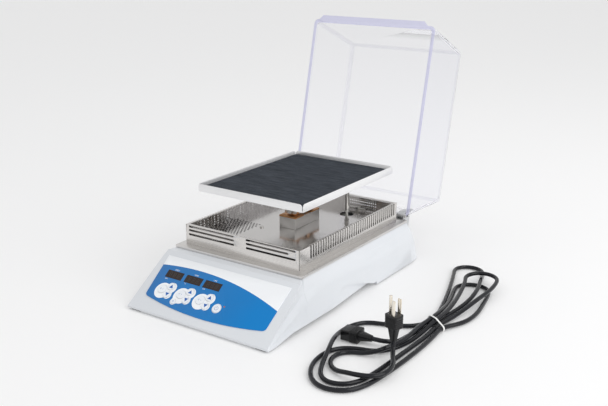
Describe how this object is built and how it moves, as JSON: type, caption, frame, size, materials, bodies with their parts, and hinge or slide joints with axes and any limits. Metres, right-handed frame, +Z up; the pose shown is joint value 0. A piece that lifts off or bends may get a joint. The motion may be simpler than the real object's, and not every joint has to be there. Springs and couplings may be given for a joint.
{
  "type": "incubating rocker",
  "caption": "Bench incubating rocker with a tilting ribbed-mat platform over a vented steel deck, sloped keypad front, hinged clear lid and detached mains lead.",
  "frame": {"origin": "on the bench, under the middle of the instrument with its lid open", "axes": "+Z up, +Y from the control panel to the lid's hinge, +X to the right as seen from the control panel"},
  "size_m": [0.4946, 0.7164, 0.4409],
  "materials": {
    "housing_shell": "smooth moulded, slight gloss",
    "foot_rubber": "matt",
    "zinc_sheet": "zinc plated",
    "screw_steel": "bright",
    "keypad_film": "printed laminate",
    "key_dome": "soft, printed arrows",
    "display_window": "smoked",
    "display_module": "moulded",
    "lamp_lens": "unlit lens",
    "circuit_board": "coated",
    "deck_steel": "polished stainless",
    "guard_steel": "satin stainless",
    "tray_steel": "polished stainless",
    "bearing_bronze": "sintered bronze",
    "platform_steel": "satin stainless",
    "mat_rubber": "fine ribs",
    "drive_rubber": "moulded belt",
    "drive_plastic": "acetal",
    "drive_metal": "as machined",
    "motor_case": "dark",
    "fan_plastic": "moulded",
    "heater_sheath": "heat tinted",
    "core_steel": "laminated core",
    "inlet_plastic": "moulded",
    "clear_acrylic": "clear, polished edges",
    "stop_rubber": "soft",
    "lead_rubber": "glossy sheath",
    "plug_rubber": "moulded",
    "prong_brass": "bright",
    "tie_plastic": "white"
  },
  "bodies": {
    "base": {"base_housing": "housing_shell", "rubber_feet": "foot_rubber", "bottom_plate": "zinc_sheet", "bottom_screws": "screw_steel", "control_overlay": "keypad_film", "display_windows": "display_window", "led_displays": "display_module", "status_lamp": "lamp_lens", "display_board": "circuit_board", "deck_flange": "deck_steel", "vent_guard": "guard_steel", "deck_tray": "tray_steel", "deck_screws": "screw_steel", "pivot_stand": "guard_steel", "pivot_bearings": "bearing_bronze", "drive_belt": "drive_rubber", "motor_bracket": "zinc_sheet", "drive_motor": "motor_case", "fan_frame": "fan_plastic", "heater_element": "heater_sheath", "temperature_probe": "screw_steel", "power_transformer": "core_steel", "control_board": "circuit_board", "mains_inlet": "inlet_plastic", "inlet_screws": "screw_steel", "hinge_posts": "drive_metal", "hinge_pins": "screw_steel", "lid_stops": "stop_rubber", "mains_lead": "lead_rubber", "lead_connector": "plug_rubber", "plug_body": "plug_rubber", "plug_prongs": "prong_brass", "lead_tie": "tie_plastic"},
    "lid": {"lid_shell": "clear_acrylic", "hinge_leaves": "drive_metal", "lid_screws": "screw_steel"},
    "platform": {"platform_tray": "platform_steel", "rubber_mat": "mat_rubber", "platform_bracket": "guard_steel", "platform_screws": "screw_steel", "pivot_shaft": "screw_steel", "pivot_screws": "screw_steel", "drive_stud": "drive_metal"},
    "rod": {"connecting_rod": "drive_plastic"},
    "crank": {"crank_pulley": "drive_plastic", "crank_pin": "screw_steel"},
    "motor_rotor": {"motor_pulley": "drive_metal"},
    "fan": {"fan_rotor": "fan_plastic"},
    "fuse": {"fuse_drawer": "inlet_plastic"},
    "speed_on": {"speed_on_key": "key_dome"},
    "heat_on": {"heat_on_key": "key_dome"},
    "time_on": {"time_on_key": "key_dome"},
    "speed_up": {"speed_up_key": "key_dome"},
    "heat_up": {"heat_up_key": "key_dome"},
    "time_up": {"time_up_key": "key_dome"},
    "speed_down": {"speed_down_key": "key_dome"},
    "heat_down": {"heat_down_key": "key_dome"},
    "time_down": {"time_down_key": "key_dome"},
    "timer": {"timer_key": "key_dome"},
    "standby": {"standby_key": "key_dome"}
  },
  "joints": [
    {"name": "lid_hinge", "type": "hinge", "parent": "base", "child": "lid", "pos_m": [0, 0.1282, 0.0874], "axis": [1, 0, 0], "range_deg": [0, 103]},
    {"name": "platform_tilt", "type": "hinge", "parent": "base", "child": "platform", "pos_m": [0, -0.0407, 0.127], "axis": [0, 1, 0], "range_deg": [-15, 15]},
    {"name": "rod_swing", "type": "hinge", "parent": "platform", "child": "rod", "pos_m": [0.043, 0.0503, 0.112], "axis": [0, 1, 0], "range_deg": [-15, 15]},
    {"name": "crank_turn", "type": "hinge", "parent": "base", "child": "crank", "pos_m": [0.0273, 0.0623, 0.062], "axis": [0, 1, 0], "range_deg": [-45, 45]},
    {"name": "motor_turn", "type": "hinge", "parent": "base", "child": "motor_rotor", "pos_m": [-0.045, 0.0623, 0.052], "axis": [0, 1, 0], "range_deg": [-135, 135]},
    {"name": "fan_spin", "type": "hinge", "parent": "base", "child": "fan", "pos_m": [-0.07, -0.1397, 0.085], "axis": [0, 0, 1], "continuous": true},
    {"name": "fuse_slide", "type": "slide", "parent": "base", "child": "fuse", "axis": [0, 1, 0], "range_m": [0, 0.018]},
    {"name": "speed_on_press", "type": "slide", "parent": "base", "child": "speed_on", "axis": [0, 0.5966, -0.8025], "range_m": [0, 0.0005], "stiffness_N_per_m": 400},
    {"name": "heat_on_press", "type": "slide", "parent": "base", "child": "heat_on", "axis": [0, 0.5966, -0.8025], "range_m": [0, 0.0005], "stiffness_N_per_m": 400},
    {"name": "time_on_press", "type": "slide", "parent": "base", "child": "time_on", "axis": [0, 0.5966, -0.8025], "range_m": [0, 0.0005], "stiffness_N_per_m": 400},
    {"name": "speed_up_press", "type": "slide", "parent": "base", "child": "speed_up", "axis": [0, 0.5966, -0.8025], "range_m": [0, 0.0005], "stiffness_N_per_m": 400},
    {"name": "heat_up_press", "type": "slide", "parent": "base", "child": "heat_up", "axis": [0, 0.5966, -0.8025], "range_m": [0, 0.0005], "stiffness_N_per_m": 400},
    {"name": "time_up_press", "type": "slide", "parent": "base", "child": "time_up", "axis": [0, 0.5966, -0.8025], "range_m": [0, 0.0005], "stiffness_N_per_m": 400},
    {"name": "speed_down_press", "type": "slide", "parent": "base", "child": "speed_down", "axis": [0, 0.5966, -0.8025], "range_m": [0, 0.0005], "stiffness_N_per_m": 400},
    {"name": "heat_down_press", "type": "slide", "parent": "base", "child": "heat_down", "axis": [0, 0.5966, -0.8025], "range_m": [0, 0.0005], "stiffness_N_per_m": 400},
    {"name": "time_down_press", "type": "slide", "parent": "base", "child": "time_down", "axis": [0, 0.5966, -0.8025], "range_m": [0, 0.0005], "stiffness_N_per_m": 400},
    {"name": "timer_press", "type": "slide", "parent": "base", "child": "timer", "axis": [0, 0.5966, -0.8025], "range_m": [0, 0.0005], "stiffness_N_per_m": 400},
    {"name": "standby_press", "type": "slide", "parent": "base", "child": "standby", "axis": [0, 0.5966, -0.8025], "range_m": [0, 0.0005], "stiffness_N_per_m": 400}
  ],
  "couplings": [
    {"joint": "rod_swing", "follows": "platform_tilt", "ratio": -1},
    {"joint": "crank_turn", "follows": "platform_tilt", "ratio": 3},
    {"joint": "motor_turn", "follows": "platform_tilt", "ratio": 9}
  ]
}
